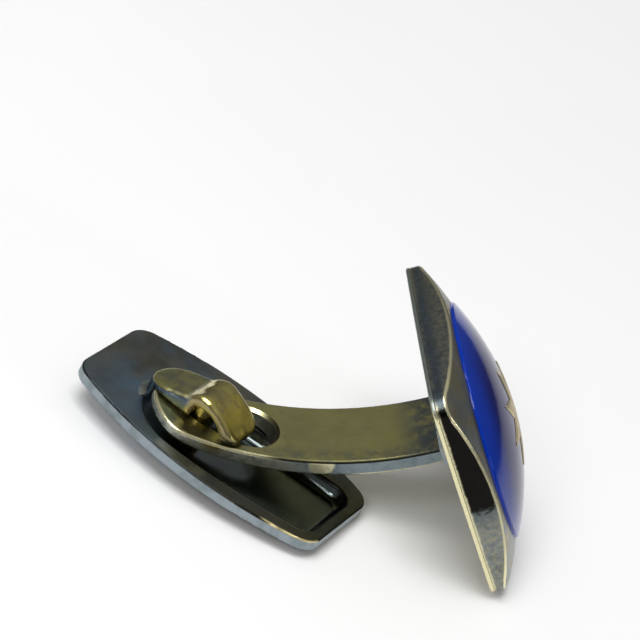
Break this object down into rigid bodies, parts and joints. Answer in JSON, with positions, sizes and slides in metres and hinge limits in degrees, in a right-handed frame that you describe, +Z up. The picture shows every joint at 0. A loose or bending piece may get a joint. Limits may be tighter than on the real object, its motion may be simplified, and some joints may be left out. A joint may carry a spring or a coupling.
{
  "type": "swivel-back cufflink",
  "caption": "Square cufflink with a domed blue enamel face and star inlay, a curved arm with an eye, and a pressed toggle that swivels on a staple to hold a shirt cuff.",
  "frame": {"origin": "middle of the bounding box's underside, on the surface that the cufflink lies on", "axes": "+Z up from the surface, +X from the toggle towards the face, +Y across the face; the face leans back over the toggle"},
  "size_m": [0.0312, 0.0178, 0.0149],
  "materials": {
    "satin_gilt": "satin, worn gilding over silver",
    "pale_gilt": "bright worn edges",
    "olive_gilt": "polished, tarnished olive",
    "dark_gilt": "polished, mottled dark tarnish",
    "bright_gold": "polished gilding",
    "star_gold": "matt gilding",
    "blue_enamel": "glossy vitreous enamel"
  },
  "bodies": {
    "link": {"face_frame": "satin_gilt", "back_plate": "pale_gilt", "enamel_ground": "satin_gilt", "enamel_dome": "blue_enamel", "gold_ornament": "star_gold", "arm": "olive_gilt", "arm_solder": "pale_gilt"},
    "toggle": {"toggle_plate": "dark_gilt", "toggle_staple": "bright_gold", "staple_solder": "pale_gilt"}
  },
  "joints": [
    {"name": "toggle_swivel", "type": "hinge", "parent": "link", "child": "toggle", "pos_m": [-0.00729, -0.00002, 0.00309], "axis": [0.0852, 0, 0.9964], "range_deg": [-55, 125]}
  ]
}
